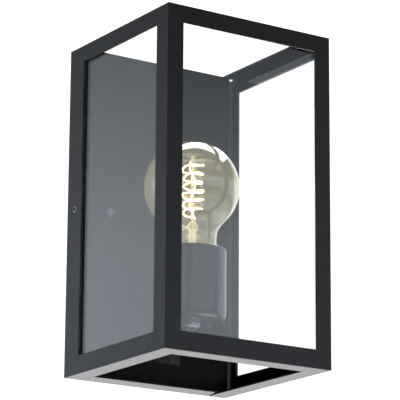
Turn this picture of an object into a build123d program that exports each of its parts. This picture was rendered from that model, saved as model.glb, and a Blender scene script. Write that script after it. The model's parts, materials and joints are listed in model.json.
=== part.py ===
"""Outdoor wall lantern: a black angle-steel cage with three glass panes over a shallow
wall tray, which carries one upright lamp in a plain round holder.

Origin: on the wall plane, at the centre of the wall bracket's fixing pattern.
+Z is up, the front faces -Y, and +X is to the right as seen from the front.
"""
import os
from math import asin, degrees

from build123d import *

os.makedirs("parts", exist_ok=True)

# ---- driving dimensions (mm) -------------------------------------------------
WIDTH = 164.0              # cage, outside
DEPTH = 158.0              # wall to the cage's front
HEIGHT = 290.0             # cage, outside
SHEET = 1.5                # cage angle and arm thickness
BAR_FRONT = 15.0           # front faces of the posts, and height of the top rails
BAR_SIDE = 17.5            # side faces of the front posts, and width of the underside legs
BAR_BOTTOM = 16.0          # height of the bottom rails
STILE = 22.5               # side strips that overlap the tray
EDGE_ROUND = 0.5           # rounding of the cage's outer edges
GLASS = 3.0                # pane thickness
TAPE = 0.8                 # glazing tape between angle and pane
GLASS_TOP_LAP = 6.0        # pane above the top rail's lower edge
TRAY_WIDTH = 150.0
TRAY_DEPTH = 15.0
TRAY_SHEET = 1.2
STUD_SPACING = 100.0       # bracket studs, centre to centre
SLOT_SPACING = 70.0        # wall screw slots, centre to centre
LAMP_OUT = 70.0            # lamp axis to the wall
CUP_RADIUS = 29.0
CUP_HEIGHT = 61.0
CUP_LOW = 47.0             # underside of the cup above the cage's underside
GLOBE_RADIUS = 40.0        # 80 mm globe lamp
GLOBE_LOW = 163.5          # globe centre above the cage's underside
LAMP_LENGTH = 131.0        # globe top to contact tip
CAP_RADIUS = 13.0          # E27 cap, over the thread
CAP_HEIGHT = 26.0
PART_GAP = 0.3             # air between pieces that move past each other

# ---- derived places ----------------------------------------------------------
BOTTOM = -HEIGHT / 2
TOP = HEIGHT / 2
SIDE = WIDTH / 2
FRONT = -DEPTH
TRAY_SIDE = TRAY_WIDTH / 2
TRAY_FRONT = -TRAY_DEPTH
TRAY_INNER = TRAY_FRONT + TRAY_SHEET
RAIL_LOW = TOP - BAR_FRONT
RAIL_HIGH = BOTTOM + BAR_BOTTOM
PANE_LOW = BOTTOM + SHEET + 0.3
PANE_HIGH = RAIL_LOW + GLASS_TOP_LAP
PANE_INSET = SHEET + TAPE
PANE_REAR = -17.5
CUP_BOTTOM = BOTTOM + CUP_LOW
CUP_TOP = CUP_BOTTOM + CUP_HEIGHT
GLOBE_Z = BOTTOM + GLOBE_LOW
CONTACT_Z = GLOBE_Z + GLOBE_RADIUS - LAMP_LENGTH
CAP_TOP = CONTACT_Z + CAP_HEIGHT + 1.0
AXIS = (0, -LAMP_OUT)


def block(x_span, y_span, z_span, mode=Mode.ADD):
    """A box between the given low and high values on each axis."""
    spans = (x_span, y_span, z_span)
    centre = [(low + high) / 2 for low, high in spans]
    size = [high - low for low, high in spans]
    with Locations(tuple(centre)):
        Box(*size, mode=mode)


def upright(radius, z_low, z_high, at=AXIS, mode=Mode.ADD):
    """A vertical cylinder from z_low to z_high."""
    with Locations((at[0], at[1], (z_low + z_high) / 2)):
        Cylinder(radius, z_high - z_low, mode=mode)


def rod(radius, y_low, y_high, x, z, mode=Mode.ADD):
    """A cylinder along Y, standing out from the wall."""
    with Locations(Location((x, (y_low + y_high) / 2, z), (90, 0, 0))):
        Cylinder(radius, y_high - y_low, mode=mode)


def turned(points, at=AXIS, mode=Mode.ADD):
    """A vertical turned piece from (radius, height) corners."""
    with BuildSketch(Plane((at[0], at[1], 0), x_dir=(1, 0, 0), z_dir=(0, -1, 0))) as half:
        with BuildLine():
            Polyline(*points, close=True)
        make_face()
    revolve(half.sketch, axis=Axis((at[0], at[1], 0), (0, 0, 1)), mode=mode)


def finish(piece, label):
    """Name a piece and write its file."""
    piece.part.label = label
    export_step(piece.part, f"parts/{label}.step")


# ---- wall bracket, studs, nuts -----------------------------------------------
STRAP_HALF = 63.0
STRAP_HIGH = 22.0
STRAP_SHEET = 2.0
STUD_RADIUS = 2.5
STUD_END = -21.5
SLOT_RADIUS = 2.4
SLOT_LENGTH = 14.0
INLET_RADIUS = 8.0         # hole in the strap
INLET_BORE = 5.0           # hole through its grommet

with BuildPart() as wall_bracket:
    with BuildSketch(Plane.XZ):
        RectangleRounded(2 * STRAP_HALF, STRAP_HIGH, 3.0)
        Circle(INLET_RADIUS, mode=Mode.SUBTRACT)
        with Locations((-SLOT_SPACING / 2, 0), (SLOT_SPACING / 2, 0)):
            SlotOverall(SLOT_LENGTH, 2 * SLOT_RADIUS, mode=Mode.SUBTRACT)
        with Locations((-STUD_SPACING / 2, 0), (STUD_SPACING / 2, 0)):
            Circle(STUD_RADIUS, mode=Mode.SUBTRACT)
    extrude(amount=STRAP_SHEET)
finish(wall_bracket, "wall_bracket")

STUD_SIDES = (-STUD_SPACING / 2, STUD_SPACING / 2)
with BuildPart() as bracket_studs:
    for side in STUD_SIDES:
        rod(STUD_RADIUS, STUD_END, 0, side, 0)
        rod(STUD_RADIUS + 2.0, -STRAP_SHEET - 2.0, -STRAP_SHEET, side, 0)
finish(bracket_studs, "bracket_studs")

with BuildPart() as inlet_grommet:
    rod(INLET_RADIUS + 2.5, -STRAP_SHEET - 1.5, -STRAP_SHEET, 0, 0)
    rod(INLET_RADIUS, -STRAP_SHEET, -0.2, 0, 0)
    rod(INLET_BORE, -STRAP_SHEET - 1.5, 0, 0, 0, mode=Mode.SUBTRACT)
finish(inlet_grommet, "inlet_grommet")

WASHER_THICK = 1.0
with BuildPart() as nut_washers:
    for side in STUD_SIDES:
        rod(5.0, TRAY_FRONT - WASHER_THICK, TRAY_FRONT, side, 0)
        rod(STUD_RADIUS, TRAY_FRONT - WASHER_THICK, TRAY_FRONT, side, 0, mode=Mode.SUBTRACT)
finish(nut_washers, "nut_washers")

NUT_FLATS = 8.0
NUT_FACE = TRAY_FRONT - WASHER_THICK
NUT_HEX = 4.0
NUT_DOME = 3.6
with BuildPart() as acorn_nuts:
    for side in STUD_SIDES:
        with BuildSketch(Plane((side, NUT_FACE, 0), z_dir=(0, -1, 0))):
            RegularPolygon(NUT_FLATS / 2, 6, major_radius=False)
        extrude(amount=NUT_HEX)
        with Locations((side, NUT_FACE - NUT_HEX, 0)):
            Sphere(NUT_DOME)
    for side in STUD_SIDES:
        rod(STUD_RADIUS, STUD_END, NUT_FACE, side, 0, mode=Mode.SUBTRACT)
finish(acorn_nuts, "acorn_nuts")

# ---- back tray ---------------------------------------------------------------
CAGE_GAP = 1.0             # between the foot's slanted end and the cage's right leg
FOOT_DEPTH = 19.5          # the foot's lip stands out past the tray's face
FOOT_LEFT = -SIDE + BAR_SIDE + PART_GAP
FOOT_REAR = SIDE - BAR_SIDE - CAGE_GAP
FOOT_FRONT = FOOT_REAR - 4.5
TRAY_LOW = BOTTOM + SHEET + 0.5
ARM_LEAD_Z = BOTTOM + 36.0
GROMMET_HOLE = 6.0
RIVET_X = 14.0
RIVET_Z = BOTTOM + 25.0
RIVET_RADIUS = 1.6
TERMINAL_Z = BOTTOM + 92.0
TERMINAL_STUD_X = 5.0
EARTH_X = 32.0

with BuildPart() as back_tray:
    block((-TRAY_SIDE, TRAY_SIDE), (TRAY_FRONT, 0), (TRAY_LOW, TOP))
    fillet(back_tray.edges().filter_by(Axis.Z).group_by(Axis.Y)[0], 0.8)
    with BuildSketch(Plane.XY.offset(BOTTOM)):
        with BuildLine():
            Polyline(
                (FOOT_LEFT, 0),
                (FOOT_LEFT, -FOOT_DEPTH),
                (FOOT_FRONT, -FOOT_DEPTH),
                (FOOT_REAR, 0),
                close=True,
            )
        make_face()
    extrude(amount=TRAY_LOW - BOTTOM)
    block(
        (-TRAY_SIDE + TRAY_SHEET, TRAY_SIDE - TRAY_SHEET),
        (TRAY_INNER, 1),
        (TRAY_LOW + TRAY_SHEET, TOP - TRAY_SHEET),
        mode=Mode.SUBTRACT,
    )
    block(
        (FOOT_LEFT + TRAY_SHEET, FOOT_FRONT - TRAY_SHEET),
        (TRAY_INNER, 1),
        (BOTTOM + TRAY_SHEET, TRAY_LOW + 2 * TRAY_SHEET),
        mode=Mode.SUBTRACT,
    )
    for side in STUD_SIDES:
        rod(STUD_RADIUS + 0.3, TRAY_FRONT - 1, 0, side, 0, mode=Mode.SUBTRACT)
    rod(GROMMET_HOLE, TRAY_FRONT - 1, 0, 0, ARM_LEAD_Z, mode=Mode.SUBTRACT)
    for side in (-RIVET_X, RIVET_X):
        rod(RIVET_RADIUS, TRAY_FRONT - 1, TRAY_INNER + 1, side, RIVET_Z, mode=Mode.SUBTRACT)
    rod(1.5, TRAY_INNER - 0.5, -2.0, TERMINAL_STUD_X, TERMINAL_Z)
    rod(2.0, TRAY_INNER - 0.5, -5.0, EARTH_X, TERMINAL_Z)
finish(back_tray, "back_tray")

GASKET = 3.5               # width of the foam strip
GASKET_DEEP = 4.0
GASKET_GAP = TRAY_SHEET + 0.1
GASKET_SIDE = TRAY_SIDE - GASKET_GAP
with BuildPart() as wall_gasket:
    block(
        (-GASKET_SIDE, GASKET_SIDE),
        (-GASKET_DEEP, 0),
        (TRAY_LOW + GASKET_GAP, TOP - GASKET_GAP),
    )
    block(
        (-GASKET_SIDE + GASKET, GASKET_SIDE - GASKET),
        (-GASKET_DEEP - 1, 1),
        (TRAY_LOW + GASKET_GAP + GASKET, TOP - GASKET_GAP - GASKET),
        mode=Mode.SUBTRACT,
    )
finish(wall_gasket, "wall_gasket")

# ---- terminal block, earth point ---------------------------------------------
POLE_PITCH = 10.0
POLES = (-POLE_PITCH, 0.0, POLE_PITCH)
BLOCK_HALF_X = 15.5
BLOCK_HALF_Z = 8.0
BLOCK_REAR = -4.0
LEAD_RADIUS = 1.1
LEAD_Y = -8.8
BLOCK_LOW = TERMINAL_Z - BLOCK_HALF_Z
ENTRY_DEPTH = 6.0

with BuildPart() as terminal_block:
    with BuildSketch(Plane((0, TRAY_INNER, TERMINAL_Z), x_dir=(1, 0, 0), z_dir=(0, 1, 0))):
        RectangleRounded(2 * BLOCK_HALF_X, 2 * BLOCK_HALF_Z, 1.5)
    extrude(amount=BLOCK_REAR - TRAY_INNER)
    for pole in POLES:
        at = (pole, LEAD_Y)
        upright(1.6, BLOCK_LOW - 1, BLOCK_LOW + ENTRY_DEPTH, at, Mode.SUBTRACT)
        upright(1.6, -BLOCK_LOW + 2 * TERMINAL_Z - ENTRY_DEPTH,
                -BLOCK_LOW + 2 * TERMINAL_Z + 1, at, Mode.SUBTRACT)
        for lift in (-4.0, 4.0):
            rod(2.0, BLOCK_REAR - 2.5, 0, pole, TERMINAL_Z + lift, mode=Mode.SUBTRACT)
    rod(1.8, TRAY_INNER - 1, 0, TERMINAL_STUD_X, TERMINAL_Z, mode=Mode.SUBTRACT)
finish(terminal_block, "terminal_block")

with BuildPart() as terminal_screws:
    for pole in POLES:
        for lift in (-4.0, 4.0):
            rod(1.8, BLOCK_REAR - 2.5, BLOCK_REAR - 0.7, pole, TERMINAL_Z + lift)
            block(
                (pole - 2, pole + 2),
                (BLOCK_REAR - 1.3, BLOCK_REAR),
                (TERMINAL_Z + lift - 0.3, TERMINAL_Z + lift + 0.3),
                mode=Mode.SUBTRACT,
            )
finish(terminal_screws, "terminal_screws")

with BuildPart() as terminal_nut:
    with BuildSketch(Plane((TERMINAL_STUD_X, BLOCK_REAR, TERMINAL_Z), z_dir=(0, 1, 0))):
        RegularPolygon(2.75, 6, major_radius=False)
        Circle(1.5, mode=Mode.SUBTRACT)
    extrude(amount=1.8)
finish(terminal_nut, "terminal_nut")

EARTH_TAG = 0.8
with BuildPart() as earth_tag:
    with BuildSketch(Plane((EARTH_X, TRAY_INNER, TERMINAL_Z), x_dir=(1, 0, 0), z_dir=(0, 1, 0))):
        Circle(4.5)
        with Locations((0, 5.5)):
            Rectangle(4.0, 8.0)
        Circle(2.0, mode=Mode.SUBTRACT)
    extrude(amount=EARTH_TAG)
finish(earth_tag, "earth_tag")

with BuildPart() as earth_nut:
    with BuildSketch(Plane((EARTH_X, TRAY_INNER + EARTH_TAG, TERMINAL_Z), z_dir=(0, 1, 0))):
        RegularPolygon(3.5, 6, major_radius=False)
        Circle(2.0, mode=Mode.SUBTRACT)
    extrude(amount=3.2)
finish(earth_nut, "earth_nut")

# ---- lamp arm ----------------------------------------------------------------
ARM_HALF = 24.0
ARM_REACH = -LAMP_OUT - 22.0
WEB_LOW = CUP_BOTTOM - SHEET
FLANGE_LOW = BOTTOM + 33.0
TAB_LOW = BOTTOM + 20.0
ARM_REAR = TRAY_FRONT - SHEET
NIPPLE_RADIUS = 5.0
NIPPLE_BORE = 4.0
POST_X = 18.0
POST_SCREW = 1.5

with BuildPart() as lamp_arm:
    block((-ARM_HALF, ARM_HALF), (ARM_REACH, TRAY_FRONT), (WEB_LOW, CUP_BOTTOM))
    fillet(lamp_arm.edges().filter_by(Axis.Z).group_by(Axis.Y)[0], 12.0)
    for side in (-1, 1):
        inner = side * (ARM_HALF - SHEET)
        outer = side * ARM_HALF
        block(
            (min(inner, outer), max(inner, outer)),
            (ARM_REACH + 12.0, TRAY_FRONT),
            (FLANGE_LOW, CUP_BOTTOM),
        )
    block((-ARM_HALF, ARM_HALF), (ARM_REAR, TRAY_FRONT), (TAB_LOW, CUP_BOTTOM))
    upright(NIPPLE_RADIUS + 0.2, FLANGE_LOW, CUP_BOTTOM + 1, mode=Mode.SUBTRACT)
    for side in (-POST_X, POST_X):
        at = (side, -LAMP_OUT)
        upright(POST_SCREW + 0.2, FLANGE_LOW, CUP_BOTTOM + 1, at, Mode.SUBTRACT)
    rod(GROMMET_HOLE, ARM_REAR - 1, 0, 0, ARM_LEAD_Z, mode=Mode.SUBTRACT)
    for side in (-RIVET_X, RIVET_X):
        rod(RIVET_RADIUS, ARM_REAR - 1, 0, side, RIVET_Z, mode=Mode.SUBTRACT)
finish(lamp_arm, "lamp_arm")

with BuildPart() as arm_rivets:
    for side in (-RIVET_X, RIVET_X):
        rod(RIVET_RADIUS, ARM_REAR, TRAY_INNER, side, RIVET_Z)
        rod(3.0, ARM_REAR - 1.0, ARM_REAR, side, RIVET_Z)
        rod(2.4, TRAY_INNER, TRAY_INNER + 1.2, side, RIVET_Z)
    fillet(arm_rivets.edges().filter_by(GeomType.CIRCLE).group_by(Axis.Y)[0], 0.6)
finish(arm_rivets, "arm_rivets")

GROMMET_BORE = 4.0
GROMMET_WALL = 1.5
with BuildPart() as arm_grommet:
    rod(GROMMET_HOLE + 2.0, ARM_REAR - GROMMET_WALL, ARM_REAR, 0, ARM_LEAD_Z)
    rod(GROMMET_HOLE, ARM_REAR, TRAY_INNER, 0, ARM_LEAD_Z)
    rod(GROMMET_HOLE + 2.0, TRAY_INNER, TRAY_INNER + GROMMET_WALL, 0, ARM_LEAD_Z)
    rod(GROMMET_BORE, ARM_REAR - 2, TRAY_INNER + 2, 0, ARM_LEAD_Z, mode=Mode.SUBTRACT)
finish(arm_grommet, "arm_grommet")

# ---- lamp holder -------------------------------------------------------------
CUP_WALL = 1.2
CUP_ROUND = 6.0
FLOOR = CUP_BOTTOM + CUP_WALL
INSERT_LOW = BOTTOM + 61.5
INSERT_HIGH = BOTTOM + 99.5
INSERT_RADIUS = 22.5
SHELL_IN = CAP_RADIUS + PART_GAP
SHELL_WALL = 0.5
SHELL_BULGE = 0.5
SHELL_OUT = SHELL_IN + SHELL_BULGE + SHELL_WALL
SHELL_LOW = CONTACT_Z + 2.5
THREAD_PITCH = 3.629
ENTRY_X = 8.0              # lead entries under the holder's insert
ENTRY_Y = -LAMP_OUT
ENTRY_RADIUS = 2.2

with BuildPart() as holder_cup:
    upright(CUP_RADIUS, CUP_BOTTOM, CUP_TOP)
    fillet(holder_cup.edges().group_by(Axis.Z)[0], CUP_ROUND)
    fillet(holder_cup.edges().group_by(Axis.Z)[-1], 0.5)
    with BuildSketch(Plane.XY.offset(FLOOR)):
        with Locations(AXIS):
            Circle(CUP_RADIUS - CUP_WALL)
    extrude(amount=CUP_HEIGHT, mode=Mode.SUBTRACT)
    turned(
        [(CUP_RADIUS - CUP_WALL - 4.0, FLOOR), (CUP_RADIUS - CUP_WALL, FLOOR),
         (CUP_RADIUS - CUP_WALL, FLOOR + 4.0)],
    )
    upright(NIPPLE_RADIUS + 0.2, CUP_BOTTOM - 1, FLOOR + 1, mode=Mode.SUBTRACT)
    for side in (-POST_X, POST_X):
        upright(POST_SCREW + 0.2, CUP_BOTTOM - 1, FLOOR + 1, (side, -LAMP_OUT), Mode.SUBTRACT)
finish(holder_cup, "holder_cup")

NIPPLE_LOW = BOTTOM + 41.0
NIPPLE_HIGH = BOTTOM + 53.0
with BuildPart() as lamp_nipple:
    upright(NIPPLE_RADIUS, NIPPLE_LOW, NIPPLE_HIGH)
    upright(NIPPLE_BORE, NIPPLE_LOW - 1, NIPPLE_HIGH + 1, mode=Mode.SUBTRACT)
finish(lamp_nipple, "lamp_nipple")

NIPPLE_NUT_HIGH = 3.0
LOCK_WASHER = 0.8
NUT_SEATS = (WEB_LOW - NIPPLE_NUT_HIGH, FLOOR + LOCK_WASHER)
with BuildPart() as nipple_nuts:
    for seat in NUT_SEATS:
        with BuildSketch(Plane.XY.offset(seat)):
            with Locations(AXIS):
                RegularPolygon(7.0, 6, major_radius=False)
                Circle(NIPPLE_RADIUS, mode=Mode.SUBTRACT)
        extrude(amount=NIPPLE_NUT_HIGH)
finish(nipple_nuts, "nipple_nuts")

with BuildPart() as lock_washer:
    upright(8.0, FLOOR, FLOOR + LOCK_WASHER)
    upright(NIPPLE_RADIUS, FLOOR - 1, FLOOR + 2, mode=Mode.SUBTRACT)
finish(lock_washer, "lock_washer")

with BuildPart() as holder_posts:
    for side in (-POST_X, POST_X):
        with BuildSketch(Plane.XY.offset(FLOOR)):
            with Locations((side, -LAMP_OUT)):
                RegularPolygon(2.75, 6, major_radius=False)
                Circle(POST_SCREW, mode=Mode.SUBTRACT)
        extrude(amount=INSERT_LOW - FLOOR)
finish(holder_posts, "holder_posts")

HEAD_HIGH = 2.2
with BuildPart() as holder_screws:
    for side in (-POST_X, POST_X):
        upright(POST_SCREW, WEB_LOW, FLOOR + 7.0, (side, -LAMP_OUT))
        upright(2.8, WEB_LOW - HEAD_HIGH, WEB_LOW, (side, -LAMP_OUT))
    fillet(holder_screws.edges().filter_by(GeomType.CIRCLE).group_by(Axis.Z)[0], 0.8)
    for side in (-POST_X, POST_X):
        block(
            (side - 2.2, side + 2.2),
            (-LAMP_OUT - 0.4, -LAMP_OUT + 0.4),
            (WEB_LOW - HEAD_HIGH - 1, WEB_LOW - HEAD_HIGH + 1.0),
            mode=Mode.SUBTRACT,
        )
finish(holder_screws, "holder_screws")

INSERT_SCREW_LOW = INSERT_LOW - 4.0
with BuildPart() as insert_screws:
    for side in (-POST_X, POST_X):
        at = (side, -LAMP_OUT)
        upright(POST_SCREW, INSERT_SCREW_LOW, INSERT_LOW + 6.0, at)
        upright(2.6, INSERT_LOW + 6.0, INSERT_LOW + 8.0, at)
finish(insert_screws, "insert_screws")

with BuildPart() as holder_insert:
    upright(INSERT_RADIUS, INSERT_LOW, INSERT_HIGH)
    fillet(holder_insert.edges().group_by(Axis.Z)[-1], 1.5)
    upright(SHELL_OUT + 0.1, SHELL_LOW - 1.0, INSERT_HIGH + 1, mode=Mode.SUBTRACT)
    upright(9.0, CONTACT_Z - 5.0, SHELL_LOW, mode=Mode.SUBTRACT)
    upright(2.5, INSERT_LOW - 1, CONTACT_Z, mode=Mode.SUBTRACT)
    for sign in (-1, 1):
        entry = (sign * ENTRY_X, ENTRY_Y)
        upright(ENTRY_RADIUS, INSERT_LOW - 1, INSERT_LOW + 4.0, entry, Mode.SUBTRACT)
    for side in (-POST_X, POST_X):
        at = (side, -LAMP_OUT)
        upright(POST_SCREW + 0.1, INSERT_LOW - 1, INSERT_LOW + 6.0, at, Mode.SUBTRACT)
        upright(3.1, INSERT_LOW + 6.0, INSERT_HIGH + 1, at, Mode.SUBTRACT)
finish(holder_insert, "holder_insert")

with BuildPart() as screw_shell:
    upright(SHELL_OUT, SHELL_LOW, INSERT_HIGH - 1.0)
    upright(SHELL_IN, SHELL_LOW - 1, INSERT_HIGH, mode=Mode.SUBTRACT)
    rings = int((INSERT_HIGH - 2.0 - SHELL_LOW) / THREAD_PITCH)
    for ring in range(rings):
        middle = SHELL_LOW + (ring + 0.7) * THREAD_PITCH
        turned(
            [(SHELL_IN - 0.1, middle - 1.2), (SHELL_IN + SHELL_BULGE, middle - 0.4),
             (SHELL_IN + SHELL_BULGE, middle + 0.4), (SHELL_IN - 0.1, middle + 1.2)],
            mode=Mode.SUBTRACT,
        )
finish(screw_shell, "screw_shell")

CONTACT_REST = CONTACT_Z - PART_GAP
with BuildPart() as centre_contact:
    upright(2.0, INSERT_LOW + 0.5, CONTACT_REST - 0.6)
    upright(5.0, CONTACT_REST - 0.6, CONTACT_REST)
finish(centre_contact, "centre_contact")

# ---- leads inside the lantern ------------------------------------------------
RISER_Z = INSERT_LOW + 1.0


def lead(points, radii):
    """A round lead along straight runs joined by arcs."""
    with BuildPart() as wire:
        with BuildLine() as route:
            FilletPolyline(*points, radius=radii)
        start = route.line @ 0
        with BuildSketch(Plane(start, z_dir=route.line % 0)):
            Circle(LEAD_RADIUS)
        sweep()
    return wire


LEAD_RISE_X = 1.9
NIPPLE_Y = -LAMP_OUT
lead_radii = {}
for name, pole, sign in (("lead_brown", POLES[0], -1), ("lead_blue", POLES[1], 1)):
    near = sign * LEAD_RISE_X
    route = [
        (pole, LEAD_Y, BLOCK_LOW + ENTRY_DEPTH - 1),
        (pole, LEAD_Y, BLOCK_LOW - 12),
        (near, LEAD_Y, ARM_LEAD_Z + 16),
        (near, LEAD_Y, ARM_LEAD_Z),
        (near, NIPPLE_Y, ARM_LEAD_Z),
        (near, NIPPLE_Y, RISER_Z - 8.0),
        (sign * ENTRY_X, ENTRY_Y, RISER_Z),
    ]
    radii = [20.0, 14.0, 6.0, 6.0, 5.0]
    lead_radii[name] = radii
    finish(lead(route, radii), name)

LUG_Y = TRAY_INNER + EARTH_TAG + LEAD_RADIUS
earth_route = [
    (POLES[2], LEAD_Y, BLOCK_LOW + ENTRY_DEPTH - 1),
    (POLES[2], LEAD_Y, BLOCK_LOW - 8),
    (POLES[2] + 9.0, LEAD_Y, BLOCK_LOW - 17),
    (EARTH_X + 9.0, LEAD_Y, BLOCK_LOW - 10),
    (EARTH_X + 9.0, LUG_Y, TERMINAL_Z + 14),
    (EARTH_X, LUG_Y, TERMINAL_Z + 16),
    (EARTH_X, LUG_Y, TERMINAL_Z + 6),
]
earth_radii = [8.0, 8.0, 8.0, 8.0, 4.5]
finish(lead(earth_route, earth_radii), "lead_earth")
lead_radii["lead_earth"] = earth_radii
print("lead arc radii, mm:", lead_radii)

SLEEVE_OUT = 3.75
SLEEVE_IN = 3.2
SLEEVE_BEND = 6.0
SLEEVE_REAR = TRAY_INNER + GROMMET_WALL
with BuildPart() as lead_sleeve:
    with BuildLine() as sleeve_route:
        FilletPolyline(
            (0, SLEEVE_REAR, ARM_LEAD_Z),
            (0, NIPPLE_Y, ARM_LEAD_Z),
            (0, NIPPLE_Y, NIPPLE_LOW + 4.0),
            radius=SLEEVE_BEND,
        )
    with BuildSketch(Plane((0, SLEEVE_REAR, ARM_LEAD_Z), z_dir=(0, -1, 0))):
        Circle(SLEEVE_OUT)
        Circle(SLEEVE_IN, mode=Mode.SUBTRACT)
    sweep()
finish(lead_sleeve, "lead_sleeve")

# ---- neck seal ---------------------------------------------------------------
NECK_RADIUS = 20.5
SEAL_LOW = CUP_TOP - 5.0
SEAL_HIGH = CUP_TOP - 2.0
with BuildPart() as neck_seal:
    upright(CUP_RADIUS - CUP_WALL - PART_GAP, SEAL_LOW, SEAL_HIGH)
    upright(NECK_RADIUS + PART_GAP, SEAL_LOW - 1, SEAL_HIGH + 1, mode=Mode.SUBTRACT)
finish(neck_seal, "neck_seal")

# ---- lamp --------------------------------------------------------------------
GLASS_WALL = 0.8
NECK_LOW = CAP_TOP - 1.0
NECK_MOUTH = 11.8
MOUTH_OUT = NECK_MOUTH + 0.6
SHOULDER_Z = BOTTOM + 106.0
NECK_TOP = BOTTOM + 116.0
FLARE_Z = BOTTOM + 136.0


def bulb_profile(shrink):
    """Half outline of the bulb, from its mouth to its crown, pulled in by shrink."""
    radius = GLOBE_RADIUS - shrink
    flare = (radius**2 - (GLOBE_Z - FLARE_Z) ** 2) ** 0.5
    Spline(
        (MOUTH_OUT - shrink, NECK_LOW),
        (NECK_RADIUS - 2.0 - shrink, SHOULDER_Z),
        (NECK_RADIUS - shrink, NECK_TOP),
        (flare, FLARE_Z),
        tangents=[(0.35, 1), (GLOBE_Z - FLARE_Z, flare)],
    )
    dip = degrees(asin((GLOBE_Z - FLARE_Z) / radius))
    CenterArc((0, GLOBE_Z), radius, -dip, 90 + dip)


AXIS_PLANE = Plane((0, -LAMP_OUT, 0), x_dir=(1, 0, 0), z_dir=(0, -1, 0))
AXIS_LINE = Axis((0, -LAMP_OUT, 0), (0, 0, 1))

with BuildPart() as lamp_glass:
    with BuildSketch(AXIS_PLANE):
        with BuildLine():
            bulb_profile(0)
            bulb_profile(GLASS_WALL)
            Line((0, GLOBE_Z + GLOBE_RADIUS), (0, GLOBE_Z + GLOBE_RADIUS - GLASS_WALL))
            Line((MOUTH_OUT, NECK_LOW), (MOUTH_OUT - GLASS_WALL, NECK_LOW))
        make_face()
    revolve(axis=AXIS_LINE)
finish(lamp_glass, "lamp_glass")

CAP_LOW = CONTACT_Z + 4.0
CAP_WALL = 0.4
CAP_CORE = CAP_RADIUS - 0.8
with BuildPart() as lamp_cap:
    upright(CAP_CORE, CAP_LOW, CAP_TOP)
    for ring in range(5):
        middle = CAP_LOW + 2.8 + ring * THREAD_PITCH
        turned(
            [(CAP_CORE - 0.2, middle - 1.5), (CAP_RADIUS, middle - 0.4),
             (CAP_RADIUS, middle + 0.4), (CAP_CORE - 0.2, middle + 1.5)],
        )
    upright(CAP_CORE - CAP_WALL + 0.1, CAP_LOW + 1.0, CAP_TOP - 1.0, mode=Mode.SUBTRACT)
    upright(NECK_MOUTH + 0.65, CAP_TOP - 1.1, CAP_TOP + 1, mode=Mode.SUBTRACT)
    upright(4.0, CAP_LOW - 1, CAP_LOW + 2, mode=Mode.SUBTRACT)
finish(lamp_cap, "lamp_cap")

with BuildPart() as cap_insulator:
    turned([(3.0, CAP_LOW + 1.0), (4.0, CAP_LOW + 1.0), (4.0, CAP_LOW), (10.5, CAP_LOW),
            (5.2, CONTACT_Z + 1.2), (3.0, CONTACT_Z + 1.2)])
finish(cap_insulator, "cap_insulator")

with BuildPart() as lamp_contact:
    upright(3.0, CONTACT_Z + 1.2, CAP_LOW + 1.0)
    upright(4.6, CONTACT_Z, CONTACT_Z + 1.2)
    fillet(lamp_contact.edges().group_by(Axis.Z)[0], 0.8)
finish(lamp_contact, "lamp_contact")

STEM_TOP = BOTTOM + 129.0
STEM_RADIUS = 3.2
BUTTON_RADIUS = 4.6
ROD_TOP = BOTTOM + 190.0
ROD_RADIUS = 1.1
with BuildPart() as lamp_stem:
    turned([
        (0, NECK_LOW), (NECK_MOUTH - 0.6, NECK_LOW), (NECK_MOUTH - 0.6, NECK_LOW + 1.0),
        (6.0, SHOULDER_Z), (STEM_RADIUS, SHOULDER_Z + 8), (STEM_RADIUS, STEM_TOP),
        (ROD_RADIUS, STEM_TOP + 3), (ROD_RADIUS, ROD_TOP), (0, ROD_TOP),
    ])
    with Locations((0, -LAMP_OUT, STEM_TOP)):
        Sphere(BUTTON_RADIUS)
    with Locations((0, -LAMP_OUT, ROD_TOP)):
        Sphere(2.0)
finish(lamp_stem, "lamp_stem")

WIRE = 0.3
COIL_RADIUS = 10.5
COIL_LOW = BOTTOM + 138.0
COIL_HIGH = BOTTOM + 186.0
COIL_TURNS = 5
COIL_START = 45            # angle of the coil's first corner


def spoke(angle, inner, outer, level):
    """A level wire from one radius to another about the lamp's axis."""
    turn = Vector(1, 0, 0).rotate(Axis.Z, angle)
    start = Vector(0, -LAMP_OUT, level) + turn * inner
    with BuildSketch(Plane(start, z_dir=turn)) as end:
        Circle(WIRE)
    extrude(end.sketch, amount=outer - inner)


def around(radius, angle):
    """A place at a radius and angle about the lamp's axis."""
    turn = Vector(radius, 0, 0).rotate(Axis.Z, angle)
    return (turn.X, turn.Y - LAMP_OUT)


HOOK_LEVEL = COIL_HIGH + 2.0
with BuildPart() as filament_supports:
    for angle in (135, 225, 315):
        spoke(angle, ROD_RADIUS + 0.05, COIL_RADIUS - 0.5, HOOK_LEVEL)
finish(filament_supports, "filament_supports")

corners = 4 * COIL_TURNS
coil_points = [
    Vector(0, -LAMP_OUT, COIL_LOW + (COIL_HIGH - COIL_LOW) * step / corners)
    + Vector(COIL_RADIUS, 0, 0).rotate(Axis.Z, 90 * step + COIL_START)
    for step in range(corners + 1)
]
with BuildPart() as lamp_filament:
    with BuildLine() as coil_route:
        FilletPolyline(*coil_points, radius=6.0)
    with BuildSketch(Plane(coil_route.line @ 0, z_dir=coil_route.line % 0)):
        Circle(WIRE)
    sweep()
finish(lamp_filament, "lamp_filament")

LEAD_IN_LEVEL = STEM_TOP - 2.0
with BuildPart() as lamp_lead_wires:
    spoke(COIL_START, BUTTON_RADIUS, COIL_RADIUS, LEAD_IN_LEVEL)
    upright(WIRE, LEAD_IN_LEVEL, COIL_LOW - 0.5, around(COIL_RADIUS, COIL_START))
    upright(WIRE, STEM_TOP + 2.7, HOOK_LEVEL, around(4.0, COIL_START))
    spoke(COIL_START, 4.0, COIL_RADIUS, HOOK_LEVEL)
    upright(WIRE, COIL_HIGH + 0.5, HOOK_LEVEL, around(COIL_RADIUS, COIL_START))
finish(lamp_lead_wires, "lamp_lead_wires")

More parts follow.
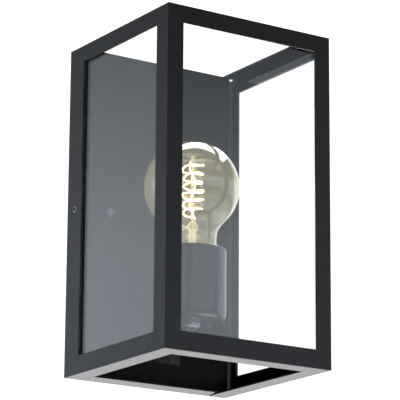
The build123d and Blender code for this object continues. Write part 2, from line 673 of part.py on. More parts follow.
# ---- cage --------------------------------------------------------------------
LEG_TOP_REAR = TRAY_FRONT - 1.0
SCREW_Y = -STILE / 2
NUTSERT_RADIUS = 4.0
WELL_RADIUS = 3.4

with BuildPart() as cage:
    block((-SIDE, SIDE), (FRONT, 0), (BOTTOM, TOP))
    front_edges = cage.edges().group_by(Axis.Y)[0]
    long_edges = cage.edges().filter_by(Axis.Y)
    fillet(front_edges + long_edges, EDGE_ROUND)
    block((-SIDE + SHEET, SIDE - SHEET), (FRONT + SHEET, 1),
          (BOTTOM + SHEET, TOP - SHEET), mode=Mode.SUBTRACT)
    block((-SIDE + BAR_FRONT, SIDE - BAR_FRONT), (FRONT + BAR_FRONT, 1),
          (0, TOP + 1), mode=Mode.SUBTRACT)
    block((-SIDE + BAR_SIDE, SIDE - BAR_SIDE), (FRONT + BAR_SIDE, 1),
          (BOTTOM - 1, 0), mode=Mode.SUBTRACT)
    block((-SIDE + SHEET, SIDE - SHEET), (LEG_TOP_REAR, 1),
          (0, TOP + 1), mode=Mode.SUBTRACT)
    block((-SIDE + BAR_FRONT, SIDE - BAR_FRONT), (FRONT - 1, FRONT + BAR_SIDE),
          (RAIL_HIGH, RAIL_LOW), mode=Mode.SUBTRACT)
    block((-SIDE - 1, SIDE + 1), (FRONT + BAR_SIDE, -STILE),
          (RAIL_HIGH, RAIL_LOW), mode=Mode.SUBTRACT)
    for side in (-SIDE, SIDE):
        with Locations(Location((side, SCREW_Y, 0), (0, 90, 0))):
            Cylinder(WELL_RADIUS, 4 * SHEET, mode=Mode.SUBTRACT)

MEMBERS = {
    "top_rail_front": ((-SIDE, SIDE), (FRONT, FRONT + BAR_FRONT), (RAIL_LOW, TOP)),
    "top_rail_left": ((-SIDE, 0), (FRONT + BAR_FRONT, 0), (RAIL_LOW, TOP)),
    "top_rail_right": ((0, SIDE), (FRONT + BAR_FRONT, 0), (RAIL_LOW, TOP)),
    "bottom_rail_front": ((-SIDE, SIDE), (FRONT, FRONT + BAR_SIDE), (BOTTOM, RAIL_HIGH)),
    "bottom_rail_left": ((-SIDE, 0), (FRONT + BAR_SIDE, 0), (BOTTOM, RAIL_HIGH)),
    "bottom_rail_right": ((0, SIDE), (FRONT + BAR_SIDE, 0), (BOTTOM, RAIL_HIGH)),
    "front_post_left": ((-SIDE, 0), (FRONT, FRONT + BAR_SIDE), (RAIL_HIGH, RAIL_LOW)),
    "front_post_right": ((0, SIDE), (FRONT, FRONT + BAR_SIDE), (RAIL_HIGH, RAIL_LOW)),
    "rear_stile_left": ((-SIDE, 0), (-STILE, 0), (RAIL_HIGH, RAIL_LOW)),
    "rear_stile_right": ((0, SIDE), (-STILE, 0), (RAIL_HIGH, RAIL_LOW)),
}
for label, (x_span, y_span, z_span) in MEMBERS.items():
    with BuildPart() as member:
        add(cage.part)
        block(x_span, y_span, z_span, mode=Mode.INTERSECT)
    finish(member, label)

# ---- panes and their tapes, clips --------------------------------------------
SIDE_PANE_FRONT = FRONT + PANE_INSET + GLASS + 0.5
FRONT_PANE_HALF = SIDE - PANE_INSET

with BuildPart() as front_glass:
    block((-FRONT_PANE_HALF, FRONT_PANE_HALF),
          (FRONT + PANE_INSET, FRONT + PANE_INSET + GLASS), (PANE_LOW, PANE_HIGH))
    chamfer(front_glass.edges(), 0.2)
finish(front_glass, "front_glass")

for side, word in ((-1, "left"), (1, "right")):
    face = side * (SIDE - PANE_INSET)
    back = side * (SIDE - PANE_INSET - GLASS)
    with BuildPart() as side_glass:
        block((min(face, back), max(face, back)), (SIDE_PANE_FRONT, PANE_REAR),
              (PANE_LOW, PANE_HIGH))
        chamfer(side_glass.edges(), 0.2)
    finish(side_glass, f"{word}_glass")
    shelf = side * (SIDE - SHEET)
    with BuildPart() as side_tape:
        block((min(face, shelf), max(face, shelf)), (SIDE_PANE_FRONT, PANE_REAR),
              (PANE_LOW, PANE_HIGH))
        block((-SIDE, SIDE), (FRONT + BAR_SIDE - 0.4, -STILE + 0.4),
              (RAIL_HIGH - 0.4, RAIL_LOW + 0.4), mode=Mode.SUBTRACT)
    finish(side_tape, f"{word}_glazing_tape")

with BuildPart() as front_tape:
    block((-FRONT_PANE_HALF, FRONT_PANE_HALF), (FRONT + SHEET, FRONT + PANE_INSET),
          (PANE_LOW, PANE_HIGH))
    block((-SIDE + BAR_FRONT - 0.4, SIDE - BAR_FRONT + 0.4), (FRONT, 0),
          (RAIL_HIGH - 0.4, RAIL_LOW + 0.4), mode=Mode.SUBTRACT)
finish(front_tape, "front_glazing_tape")

CLIP_SHEET = 0.8
CLIP_LENGTH = 12.0
CLIP_HIGH = 10.0
CLIP_INNER_X = SIDE - PANE_INSET - GLASS
CLIP_INNER_Y = FRONT + PANE_INSET + GLASS
CLIP_LEVELS = (BOTTOM + SHEET, TOP - SHEET - CLIP_HIGH)
with BuildPart() as glass_clips:
    for side in (-1, 1):
        for level in CLIP_LEVELS:
            inside = side * (CLIP_INNER_X - 0.2)
            leaf = side * (CLIP_INNER_X - 0.2 - CLIP_SHEET)
            reach = side * (CLIP_INNER_X - 0.2 - CLIP_LENGTH)
            block((min(inside, leaf), max(inside, leaf)),
                  (CLIP_INNER_Y + 0.2, CLIP_INNER_Y + CLIP_LENGTH), (level, level + CLIP_HIGH))
            block((min(inside, reach), max(inside, reach)),
                  (CLIP_INNER_Y + 0.2, CLIP_INNER_Y + 0.2 + CLIP_SHEET),
                  (level, level + CLIP_HIGH))
finish(glass_clips, "glass_clips")

# ---- side screws -------------------------------------------------------------
SCREW_RADIUS = 2.5
SCREW_PART_GAP = 0.05
NUTSERT_IN = TRAY_SIDE + PART_GAP
with BuildPart() as stile_nuts:
    for side in (-1, 1):
        inner = side * NUTSERT_IN
        outer = side * (SIDE - SHEET)
        with Locations(Location(((inner + outer) / 2, SCREW_Y, 0), (0, 90, 0))):
            Cylinder(NUTSERT_RADIUS, abs(outer - inner))
            Cylinder(SCREW_RADIUS + SCREW_PART_GAP, 20, mode=Mode.SUBTRACT)
finish(stile_nuts, "stile_nuts")

HEAD_OUT = SIDE - 0.1
WASHER_IN = SIDE - SHEET
WASHER_OUT = WASHER_IN + 0.5
for side, word in ((-1, "left"), (1, "right")):
    with BuildPart() as washer:
        with Locations(Location((side * (WASHER_IN + WASHER_OUT) / 2, SCREW_Y, 0), (0, 90, 0))):
            Cylinder(WELL_RADIUS - PART_GAP, WASHER_OUT - WASHER_IN)
            Cylinder(SCREW_RADIUS + PART_GAP, 5, mode=Mode.SUBTRACT)
    finish(washer, f"{word}_screw_washer")
    with BuildPart() as screw:
        shank_in = TRAY_SIDE + PART_GAP
        shank_out = WASHER_OUT + 0.05
        with Locations(Location((side * (shank_in + shank_out) / 2, SCREW_Y, 0), (0, 90, 0))):
            Cylinder(SCREW_RADIUS, shank_out - shank_in)
        with Locations(Location((side * (shank_out + HEAD_OUT) / 2, SCREW_Y, 0), (0, 90, 0))):
            Cylinder(WELL_RADIUS - PART_GAP, HEAD_OUT - shank_out)
        with BuildSketch(Plane((side * HEAD_OUT, SCREW_Y, 0), z_dir=(-side, 0, 0))):
            RegularPolygon(1.5, 6, major_radius=False)
        extrude(amount=2.0, mode=Mode.SUBTRACT)
    finish(screw, f"side_screw_{word}")
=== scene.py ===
"""Looks of the outdoor wall lantern: finishes for every CAD piece, a glowing coiled
filament in place of the plain one, and a plain white studio."""
import json
import math

import bpy
from mathutils import Matrix, Vector


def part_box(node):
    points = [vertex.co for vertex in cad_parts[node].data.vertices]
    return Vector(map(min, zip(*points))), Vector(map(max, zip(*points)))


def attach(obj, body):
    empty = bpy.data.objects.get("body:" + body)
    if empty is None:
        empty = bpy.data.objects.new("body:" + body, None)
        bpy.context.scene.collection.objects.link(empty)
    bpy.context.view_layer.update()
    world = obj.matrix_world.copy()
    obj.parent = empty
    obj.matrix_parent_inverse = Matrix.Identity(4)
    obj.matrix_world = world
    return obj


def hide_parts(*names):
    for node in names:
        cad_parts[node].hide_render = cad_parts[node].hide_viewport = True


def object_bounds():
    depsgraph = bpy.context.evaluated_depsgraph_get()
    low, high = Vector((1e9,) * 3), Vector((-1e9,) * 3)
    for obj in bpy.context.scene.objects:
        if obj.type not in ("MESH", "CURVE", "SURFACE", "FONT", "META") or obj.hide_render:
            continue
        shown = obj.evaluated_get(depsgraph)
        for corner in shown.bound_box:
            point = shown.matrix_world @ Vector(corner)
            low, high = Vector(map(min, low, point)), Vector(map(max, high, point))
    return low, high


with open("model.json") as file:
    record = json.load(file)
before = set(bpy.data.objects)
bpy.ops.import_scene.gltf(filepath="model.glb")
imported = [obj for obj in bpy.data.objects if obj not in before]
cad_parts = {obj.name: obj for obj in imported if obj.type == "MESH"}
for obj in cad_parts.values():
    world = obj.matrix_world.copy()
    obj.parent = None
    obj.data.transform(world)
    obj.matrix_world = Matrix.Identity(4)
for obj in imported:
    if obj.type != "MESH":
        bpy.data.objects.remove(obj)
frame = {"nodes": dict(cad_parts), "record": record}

CAD_BOX = [list(corner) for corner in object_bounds()]
NODES = frame["nodes"]
SLOT_OF = {part["node"]: part["material_slot"] for part in frame["record"]["subparts"]}


# ---- material helpers ----------------------------------------------------------
NOISE_LOW, NOISE_HIGH = 0.3, 0.7       # where nearly all of a noise's values lie
BLEND_START, BLEND_END = 0.35, 0.65    # stops of a two-colour blend
BEVEL_SAMPLES = 4
FLAT_COSINE, EDGE_COSINE = 0.99, 0.8   # bevelled against true normal, on a face and on an edge


class Finish:
    """A Principled material with the node chains that the finishes share."""

    def __init__(self, name, **sockets):
        self.material = bpy.data.materials.new(name)
        self.material.use_nodes = True
        self.tree = self.material.node_tree
        self.shader = self.tree.nodes["Principled BSDF"]
        for socket, value in sockets.items():
            self.shader.inputs[socket.replace("_", " ")].default_value = value
        self.place = self.add("ShaderNodeTexCoord").outputs["Object"]

    def add(self, kind, **settings):
        node = self.tree.nodes.new(kind)
        for key, value in settings.items():
            setattr(node, key, value)
        return node

    def join(self, source, target):
        self.tree.links.new(source, target)

    def stretched(self, scale):
        """Object coordinates scaled unevenly, for grain that runs one way."""
        mapping = self.add("ShaderNodeMapping")
        mapping.inputs["Scale"].default_value = scale
        self.join(self.place, mapping.inputs["Vector"])
        return mapping.outputs["Vector"]

    def noise(self, scale, detail=3.0, roughness=0.5, vector=None):
        node = self.add("ShaderNodeTexNoise")
        node.inputs["Scale"].default_value = scale
        node.inputs["Detail"].default_value = detail
        node.inputs["Roughness"].default_value = roughness
        self.join(vector or self.place, node.inputs["Vector"])
        return node.outputs["Fac"]

    def spread(self, source, low, high):
        """A number source remapped from the noise's usual range to low..high."""
        node = self.add("ShaderNodeMapRange")
        node.inputs["From Min"].default_value = NOISE_LOW
        node.inputs["From Max"].default_value = NOISE_HIGH
        node.inputs["To Min"].default_value = low
        node.inputs["To Max"].default_value = high
        self.join(source, node.inputs["Value"])
        return node.outputs["Result"]

    def blend(self, source, colour_a, colour_b):
        """A colour that runs from colour_a to colour_b with the source."""
        ramp = self.add("ShaderNodeValToRGB")
        ramp.color_ramp.elements[0].position = BLEND_START
        ramp.color_ramp.elements[1].position = BLEND_END
        ramp.color_ramp.elements[0].color = (*colour_a, 1)
        ramp.color_ramp.elements[1].color = (*colour_b, 1)
        self.join(source, ramp.inputs["Fac"])
        return ramp.outputs["Color"]

    def relief(self, source, strength, height):
        """Bump from a number source, at a height in metres."""
        node = self.add("ShaderNodeBump")
        node.inputs["Strength"].default_value = strength
        node.inputs["Distance"].default_value = height
        self.join(source, node.inputs["Height"])
        self.join(node.outputs["Normal"], self.shader.inputs["Normal"])

    def colour(self, source):
        self.join(source, self.shader.inputs["Base Color"])

    def gloss(self, source):
        self.join(source, self.shader.inputs["Roughness"])


def edge_mask(finish, radius):
    """Near 1 on rounded edges and 0 on flat faces."""
    bevel = finish.add("ShaderNodeBevel", samples=BEVEL_SAMPLES)
    bevel.inputs["Radius"].default_value = radius
    geometry = finish.add("ShaderNodeNewGeometry")
    dot = finish.add("ShaderNodeVectorMath", operation="DOT_PRODUCT")
    finish.join(bevel.outputs["Normal"], dot.inputs[0])
    finish.join(geometry.outputs["Normal"], dot.inputs[1])
    mask = finish.add("ShaderNodeMapRange")
    mask.inputs["From Min"].default_value = FLAT_COSINE
    mask.inputs["From Max"].default_value = EDGE_COSINE
    finish.join(dot.outputs["Value"], mask.inputs["Value"])
    return mask.outputs["Result"]


# ---- finishes --------------------------------------------------------------------
# The powder coat's edges are lightened as a painted highlight, by this width, strength and colour.
EDGE_HIGHLIGHT_WIDTH = 0.0007                  # metres of an edge given a painted highlight
EDGE_HIGHLIGHT_MOST = 0.55
EDGE_HIGHLIGHT_COLOUR = (0.02, 0.021, 0.023, 1)
PEEL_HEIGHT = 0.00006


def powder_coat(name, dark, light, index, gloss, peel):
    """Satin black powder coat: fine orange peel, faint mottling, and edges lightened as a painted
    highlight.
    """
    finish = Finish(name, IOR=index)
    flat = finish.blend(finish.noise(60.0, detail=4.0), dark, light)
    # painted highlight: the edges are lightened by an amount that varies with noise
    painted_edge_highlight = finish.add("ShaderNodeMix", data_type="RGBA")
    edge_highlight_amount = finish.add("ShaderNodeMath", operation="MULTIPLY")
    finish.join(edge_mask(finish, EDGE_HIGHLIGHT_WIDTH), edge_highlight_amount.inputs[0])
    finish.join(finish.spread(finish.noise(140.0), 0.0, EDGE_HIGHLIGHT_MOST), edge_highlight_amount.inputs[1])
    finish.join(edge_highlight_amount.outputs["Value"], painted_edge_highlight.inputs["Factor"])
    finish.join(flat, painted_edge_highlight.inputs["A"])
    painted_edge_highlight.inputs["B"].default_value = EDGE_HIGHLIGHT_COLOUR
    finish.colour(painted_edge_highlight.outputs["Result"])
    finish.gloss(finish.spread(finish.noise(220.0), gloss * 0.88, gloss * 1.12))
    finish.relief(finish.noise(900.0, detail=2.0), peel, PEEL_HEIGHT)
    return finish.material


def plated(name, dark, light, rough, grain=(40.0, 900.0, 900.0), height=0.00002):
    """Plated or drawn metal with fine grain and cloudy gloss."""
    finish = Finish(name, Metallic=1.0)
    finish.colour(finish.blend(finish.noise(180.0, detail=5.0), dark, light))
    lines = finish.noise(1.0, detail=4.0, vector=finish.stretched(grain))
    finish.gloss(finish.spread(lines, rough * 0.8, rough * 1.25))
    finish.relief(lines, 0.15, height)
    return finish.material


def rubbery(name, dark, light, grain, height):
    """Matt rubber or foam with a fine open grain."""
    finish = Finish(name, IOR=1.48)
    cells = finish.add("ShaderNodeTexVoronoi", feature="F1")
    cells.inputs["Scale"].default_value = grain
    finish.join(finish.place, cells.inputs["Vector"])
    finish.colour(finish.blend(finish.noise(300.0, detail=4.0), dark, light))
    finish.gloss(finish.spread(finish.noise(grain), 0.7, 0.85))
    finish.relief(cells.outputs["Distance"], 0.5, height)
    return finish.material


def moulded(name, dark, light, rough):
    """Moulded plastic with a faint cloud and a fine spark texture."""
    finish = Finish(name, IOR=1.5)
    finish.colour(finish.blend(finish.noise(90.0, detail=5.0), dark, light))
    finish.gloss(finish.spread(finish.noise(400.0), rough * 0.85, rough * 1.15))
    finish.relief(finish.noise(1800.0, detail=2.0), 0.2, 0.00003)
    return finish.material


def glazed(name, dark, light, rough):
    """Glazed porcelain or vitreous glass: smooth gloss over a speckled body."""
    finish = Finish(name, IOR=1.5, Coat_Weight=0.6, Coat_Roughness=0.05)
    specks = finish.noise(1500.0, detail=1.0)
    finish.colour(finish.blend(specks, dark, light))
    finish.gloss(finish.spread(finish.noise(250.0), rough, rough * 1.6))
    finish.relief(finish.noise(120.0), 0.06, 0.00005)
    return finish.material


def striped_lead():
    """Green insulation with a yellow stripe down one side."""
    finish = Finish("striped_lead", IOR=1.5)
    wave = finish.add("ShaderNodeTexWave", wave_type="BANDS", bands_direction="DIAGONAL")
    wave.inputs["Scale"].default_value = 95.0
    wave.inputs["Distortion"].default_value = 0.4
    finish.join(finish.place, wave.inputs["Vector"])
    finish.colour(finish.blend(wave.outputs["Fac"], (0.06, 0.24, 0.05), (0.6, 0.5, 0.05)))
    finish.gloss(finish.spread(finish.noise(500.0), 0.3, 0.45))
    finish.relief(finish.noise(900.0), 0.15, 0.00003)
    return finish.material


def pane_glass():
    """Clear float glass with a breath of dust in its gloss."""
    finish = Finish("pane_glass", IOR=1.5, Transmission_Weight=1.0)
    finish.colour(finish.blend(finish.noise(8.0), (0.965, 0.975, 0.97), (0.985, 0.99, 0.985)))
    finish.gloss(finish.spread(finish.noise(35.0, detail=6.0), 0.0, 0.012))
    finish.relief(finish.noise(9.0, detail=1.0), 0.01, 0.0001)
    return finish.material


def bulb_glass():
    """Smoke-tinted blown glass, slightly wavy, with a faint painted glow of the filament's light.
    """
    # painted glow: the envelope emits a little warm light of its own
    finish = Finish("bulb_glass", IOR=1.5, Transmission_Weight=1.0,
                    Emission_Color=(1.0, 0.92, 0.6, 1), Emission_Strength=0.06)
    finish.colour(finish.blend(finish.noise(25.0), (0.58, 0.58, 0.47), (0.66, 0.66, 0.54)))
    finish.gloss(finish.spread(finish.noise(60.0, detail=5.0), 0.0, 0.02))
    finish.relief(finish.noise(30.0, detail=1.0), 0.05, 0.0001)
    return finish.material


def stem_glass():
    """Clear glass of the lamp's stem, streaked where it was drawn, with a painted glow of the
    filament's light.
    """
    # painted glow: the stem glass emits warm light of its own
    finish = Finish("stem_glass", IOR=1.5, Transmission_Weight=1.0,
                    Emission_Color=(1.0, 0.85, 0.55, 1), Emission_Strength=0.3)
    streaks = finish.noise(1.0, detail=2.0, vector=finish.stretched((900.0, 900.0, 40.0)))
    finish.colour(finish.blend(streaks, (0.88, 0.88, 0.84), (0.96, 0.96, 0.93)))
    finish.gloss(finish.spread(streaks, 0.02, 0.08))
    finish.relief(streaks, 0.1, 0.0001)
    return finish.material


def glowing_wire():
    """Filament at working heat, hotter and cooler along its length."""
    finish = Finish("glowing_wire", Roughness=0.6, Emission_Strength=11.0)
    heat = finish.noise(180.0, detail=2.0)
    finish.colour(finish.blend(heat, (0.5, 0.25, 0.08), (0.7, 0.45, 0.2)))
    glow = finish.blend(heat, (1.0, 0.6, 0.25), (1.0, 0.8, 0.5))
    finish.join(glow, finish.shader.inputs["Emission Color"])
    finish.relief(finish.noise(2500.0), 0.3, 0.00002)
    return finish.material


FINISHES = {
    "black_metal": powder_coat("frame_coat", (0.003, 0.0032, 0.0034), (0.005, 0.0053, 0.0056),
                               1.3, 0.24, 0.12),
    "zinc_steel": plated("zinc_plate", (0.42, 0.44, 0.47), (0.62, 0.63, 0.64), 0.3),
    "dark_nut": plated("dark_plating", (0.09, 0.092, 0.1), (0.2, 0.2, 0.21), 0.2),
    "rubber": rubbery("black_rubber", (0.01, 0.01, 0.01), (0.02, 0.02, 0.02), 1500.0, 0.00003),
    "foam": rubbery("cell_foam", (0.008, 0.008, 0.009), (0.016, 0.016, 0.017), 1400.0, 0.0002),
    "white_plastic": moulded("white_nylon", (0.68, 0.66, 0.6), (0.78, 0.76, 0.71), 0.42),
    "brass": plated("brass", (0.52, 0.34, 0.11), (0.7, 0.5, 0.2), 0.28),
    "porcelain": glazed("porcelain", (0.74, 0.72, 0.67), (0.84, 0.83, 0.79), 0.12),
    "brown_lead": moulded("brown_pvc", (0.09, 0.035, 0.015), (0.14, 0.06, 0.028), 0.36),
    "blue_lead": moulded("blue_pvc", (0.015, 0.06, 0.3), (0.03, 0.1, 0.42), 0.36),
    "green_lead": striped_lead(),
    "pane_glass": pane_glass(),
    "bulb_glass": bulb_glass(),
    "stem_glass": stem_glass(),
    "lamp_metal": plated("rolled_brass", (0.6, 0.5, 0.26), (0.74, 0.66, 0.42), 0.24,
                         grain=(900.0, 900.0, 60.0)),
    "black_glass": glazed("vitrite", (0.006, 0.006, 0.008), (0.012, 0.012, 0.014), 0.1),
    "solder": plated("solder", (0.42, 0.42, 0.4), (0.56, 0.56, 0.54), 0.4,
                     grain=(300.0, 300.0, 300.0)),
    "lamp_wire": plated("nickel_wire", (0.32, 0.3, 0.27), (0.46, 0.43, 0.39), 0.3),
    "filament": glowing_wire(),
}


def paint(piece, slot):
    """Give a piece the finish of its slot, in place of whatever it came with."""
    piece.data.materials.clear()
    piece.data.materials.append(FINISHES[slot])


for name, node in NODES.items():
    paint(node, SLOT_OF[name])

# painted shade: a darker, less reflective copy of the frame coat for the inside of the cage
TRAY_PAINTED_SHADE_COAT = powder_coat("tray_coat_painted_shade", (0.0028, 0.003, 0.0032), (0.0045, 0.0047, 0.005),
                        1.2, 0.5, 0.05)
CUP_COAT = powder_coat("cup_coat", (0.004, 0.0042, 0.0045), (0.006, 0.0063, 0.0067),
                       1.38, 0.22, 0.03)
NODES["holder_cup"].data.materials[0] = CUP_COAT
FOOT_BAND = 0.0004                     # faces this close to the underside are the tray's foot


def coat_tray():
    """Matt inside the cage, darker and less reflective there as painted shade, and the frame's
    satin on the foot that faces down.
    """
    mesh = NODES["back_tray"].data
    mesh.materials[0] = TRAY_PAINTED_SHADE_COAT
    mesh.materials.append(FINISHES["black_metal"])
    foot = CAD_BOX[0][2] + FOOT_BAND
    for face in mesh.polygons:
        face.material_index = int(face.center.z < foot)


coat_tray()


# ---- filament --------------------------------------------------------------------
LAMP_LOW, LAMP_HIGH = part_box("lamp_glass")
LAMP_AXIS = Vector(((LAMP_LOW.x + LAMP_HIGH.x) / 2, (LAMP_LOW.y + LAMP_HIGH.y) / 2, 0))
COIL_WIRE = 0.00062                    # radius of the wire
COIL_TURNS = 6
COIL_STEPS = 24                        # points in a turn
COIL_SPREAD = 0.0016                   # past the plain filament's radius
COIL_END_GAP = 0.001
COIL_DROOP = 0.0006
RETURN_WIRE = 0.0005
RETURN_STEPS = 60
RETURN_REACH = 0.0024
RETURN_SWAY = 0.0005
RETURN_DROP = 0.002                    # how far it starts below the plain filament


def curve_piece(name, points, thickness, slot, body):
    """A round wire along a smooth NURBS line."""
    data = bpy.data.curves.new(name, "CURVE")
    data.dimensions = "3D"
    data.bevel_depth = thickness
    data.bevel_resolution = 3
    data.resolution_u = 6
    spline = data.splines.new("NURBS")
    spline.points.add(len(points) - 1)
    for point, place in zip(spline.points, points):
        point.co = (*place, 1)
    spline.order_u = 3
    spline.use_endpoint_u = True
    data.materials.append(FINISHES[slot])
    piece = bpy.data.objects.new(name, data)
    bpy.context.scene.collection.objects.link(piece)
    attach(piece, body)
    return piece


def around_axis(angle, reach, level):
    """The point at an angle and reach from the lamp's axis, at a height."""
    spot = Vector((math.cos(angle), math.sin(angle), 0)) * reach
    return LAMP_AXIS + spot + Vector((0, 0, level))


def coiled_filament():
    """Six drooping turns of fine wire wound about the lamp's centre rod."""
    low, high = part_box("lamp_filament")
    radius = (high.x - low.x) / 2 + COIL_SPREAD
    rise = high.z - low.z - 2 * COIL_END_GAP
    points = []
    for step in range(COIL_TURNS * COIL_STEPS + 1):
        share = step / (COIL_TURNS * COIL_STEPS)
        angle = math.radians(45) + 2 * math.pi * step / COIL_STEPS
        droop = COIL_DROOP * math.sin(2.2 * angle)
        reach = radius * (0.92 + 0.08 * math.sin(1.7 * angle + 1.0))
        points.append(around_axis(angle, reach, low.z + COIL_END_GAP + rise * share + droop))
    piece = curve_piece("filament_coil", points, COIL_WIRE, "filament", "lamp")
    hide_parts("lamp_filament")


def filament_return():
    """The filament's other leg, laid in a loose twist up the centre rod."""
    low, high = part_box("lamp_filament")
    start = low.z - RETURN_DROP
    points = []
    for step in range(RETURN_STEPS + 1):
        share = step / RETURN_STEPS
        reach = RETURN_REACH + RETURN_SWAY * math.sin(9 * share)
        points.append(around_axis(3 * math.pi * share, reach, start + (high.z - start) * share))
    curve_piece("filament_return", points, RETURN_WIRE, "filament", "lamp")


coiled_filament()
filament_return()


# ---- view ------------------------------------------------------------------------
CAMERA_PLACE = Vector((-1.0786, -1.7235, -0.5192))
CAMERA_YAW = math.radians(33.315)
CAMERA_PITCH = math.radians(14.95)
CAMERA_ROLL = math.radians(0.41)
FOCAL_LENGTH = 215.0
SENSOR_WIDTH = 36.0
LINE_OF_SIGHT = Vector((math.sin(CAMERA_YAW) * math.cos(CAMERA_PITCH),
                        math.cos(CAMERA_YAW) * math.cos(CAMERA_PITCH),
                        math.sin(CAMERA_PITCH)))

# ---- studio ----------------------------------------------------------------------
FLOOR_DROP = 0.62                      # floor below the lantern's underside
FLOOR_HALF = 9.0
BACKDROP_WHITE = (0.99, 0.99, 0.99, 1)
BACKDROP_STRENGTH = 1.3
BACKDROP_EDGE = 0.78                   # cosine from the line of sight where the white starts
BACKDROP_FADE = 0.08
FRONT_TO_REAR = 0.3                    # half the band over which the two glows blend
GLOW_TINT = (0.91, 0.985, 1.08)

# Brightness of the studio by height, from straight down at 0 to straight up at 1.
REAR_GLOW = ((0.0, 0.9), (0.5, 1.2), (0.60, 1.36), (0.615, 1.3), (0.64, 0.95), (0.66, 0.62),
             (0.69, 0.18), (0.8, 0.1), (1.0, 0.2))
FRONT_GLOW = ((0.0, 0.9), (0.5, 1.3), (0.60, 1.75), (0.62, 1.7), (0.64, 0.95), (0.66, 0.5),
              (0.69, 0.12), (0.8, 0.08), (1.0, 0.2))


def remapped(tree, source, low, high):
    """The source taken from low..high to 0..1."""
    node = tree.nodes.new("ShaderNodeMapRange")
    node.inputs["From Min"].default_value = low
    node.inputs["From Max"].default_value = high
    tree.links.new(source, node.inputs["Value"])
    return node.outputs["Result"]


def calculated(tree, operation, first, second):
    """One math operation on two number sources."""
    node = tree.nodes.new("ShaderNodeMath")
    node.operation = operation
    tree.links.new(first, node.inputs[0])
    tree.links.new(second, node.inputs[1])
    return node.outputs["Value"]


def glow_ramp(tree, height, stops):
    """The studio's brightness by height, in its cool tint."""
    ramp = tree.nodes.new("ShaderNodeValToRGB")
    elements = ramp.color_ramp.elements
    while len(elements) < len(stops):
        elements.new(0.5)
    for element, (position, value) in zip(elements, stops):
        element.position = position
        element.color = (*(value * share for share in GLOW_TINT), 1)
    tree.links.new(height, ramp.inputs["Fac"])
    return ramp.outputs["Color"]


def studio_glow(tree, way):
    """What lights the object: bright low down, dimmer overhead, unlike in front and behind."""
    split = tree.nodes.new("ShaderNodeSeparateXYZ")
    tree.links.new(way, split.inputs["Vector"])
    height = remapped(tree, split.outputs["Z"], -1.0, 1.0)
    behind = remapped(tree, split.outputs["Y"], -FRONT_TO_REAR, FRONT_TO_REAR)
    mix = tree.nodes.new("ShaderNodeMix")
    mix.data_type = "RGBA"
    tree.links.new(behind, mix.inputs["Factor"])
    tree.links.new(glow_ramp(tree, height, FRONT_GLOW), mix.inputs["A"])
    tree.links.new(glow_ramp(tree, height, REAR_GLOW), mix.inputs["B"])
    return mix.outputs["Result"]


def sees_backdrop(tree, way):
    """1 for camera rays, and for rays that went through glass towards the backdrop."""
    rays = tree.nodes.new("ShaderNodeLightPath")
    facing = tree.nodes.new("ShaderNodeVectorMath")
    facing.operation = "DOT_PRODUCT"
    facing.inputs[1].default_value = LINE_OF_SIGHT
    tree.links.new(way, facing.inputs[0])
    backdrop = remapped(tree, facing.outputs["Value"], BACKDROP_EDGE, BACKDROP_EDGE + BACKDROP_FADE)
    through = calculated(tree, "MULTIPLY", rays.outputs["Is Transmission Ray"], backdrop)
    return calculated(tree, "MAXIMUM", rays.outputs["Is Camera Ray"], through)


def studio_world():
    """White behind the object, and the studio's glow for all that it reflects."""
    world = bpy.data.worlds.new("studio")
    bpy.context.scene.world = world
    world.use_nodes = True
    tree = world.node_tree
    tree.nodes.clear()
    way = tree.nodes.new("ShaderNodeTexCoord").outputs["Generated"]
    seen = tree.nodes.new("ShaderNodeBackground")
    seen.inputs["Color"].default_value = BACKDROP_WHITE
    seen.inputs["Strength"].default_value = BACKDROP_STRENGTH
    lit = tree.nodes.new("ShaderNodeBackground")
    tree.links.new(studio_glow(tree, way), lit.inputs["Color"])
    choice = tree.nodes.new("ShaderNodeMixShader")
    tree.links.new(sees_backdrop(tree, way), choice.inputs["Fac"])
    tree.links.new(lit.outputs["Background"], choice.inputs[1])
    tree.links.new(seen.outputs["Background"], choice.inputs[2])
    output = tree.nodes.new("ShaderNodeOutputWorld")
    tree.links.new(choice.outputs["Shader"], output.inputs["Surface"])


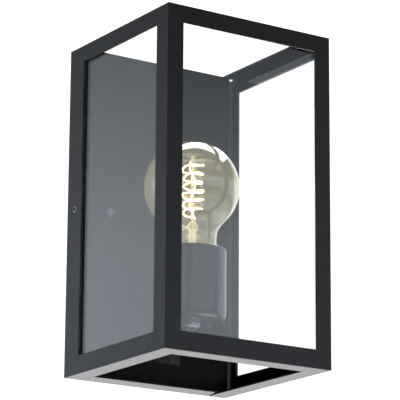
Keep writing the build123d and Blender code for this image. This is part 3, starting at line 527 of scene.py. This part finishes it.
def studio_floor():
    """A pale matt floor far enough below to stay out of the main view."""
    z = CAD_BOX[0][2] - FLOOR_DROP
    mesh = bpy.data.meshes.new("floor")
    signs = ((-1, -1), (1, -1), (1, 1), (-1, 1))
    corners = [(x * FLOOR_HALF, y * FLOOR_HALF, z) for x, y in signs]
    mesh.from_pydata(corners, [], [(0, 1, 2, 3)])
    floor = bpy.data.objects.new("floor", mesh)
    bpy.context.scene.collection.objects.link(floor)
    finish = Finish("floor_paint", Roughness=0.8)
    finish.colour(finish.blend(finish.noise(3.0), (0.86, 0.86, 0.86), (0.9, 0.9, 0.9)))
    mesh.materials.append(finish.material)


def area_light(name, place, aim, size, power):
    """A rectangular light at a place, turned to face its aim."""
    data = bpy.data.lights.new(name, "AREA")
    data.shape = "RECTANGLE"
    data.size, data.size_y = size
    data.energy = power
    lamp = bpy.data.objects.new(name, data)
    bpy.context.scene.collection.objects.link(lamp)
    lamp.location = place
    lamp.rotation_euler = (Vector(aim) - Vector(place)).to_track_quat("-Z", "Y").to_euler()
    return lamp


studio_world()
studio_floor()
area_light("soft_top", (-0.6, -0.9, 1.6), (0, -0.08, 0), (1.6, 1.6), 10.0)
area_light("floor_fill", (0.6, 1.2, 1.4), (0.8, 1.6, -0.8), (2.5, 2.5), 200.0)


def studio_camera():
    """The camera stands below the lantern, to its left, and looks up at it."""
    data = bpy.data.cameras.new("camera")
    data.lens = FOCAL_LENGTH
    data.sensor_width = SENSOR_WIDTH
    camera = bpy.data.objects.new("camera", data)
    bpy.context.scene.collection.objects.link(camera)
    right = Vector((math.cos(CAMERA_YAW), -math.sin(CAMERA_YAW), 0))
    up = right.cross(LINE_OF_SIGHT)
    turn = Matrix.Rotation(-CAMERA_ROLL, 3, LINE_OF_SIGHT)
    axes = [turn @ right, turn @ up, -LINE_OF_SIGHT]
    camera.matrix_world = Matrix.Translation(CAMERA_PLACE) @ Matrix(axes).transposed().to_4x4()
    bpy.context.scene.camera = camera


studio_camera()
bpy.context.scene.view_settings.view_transform = "Standard"
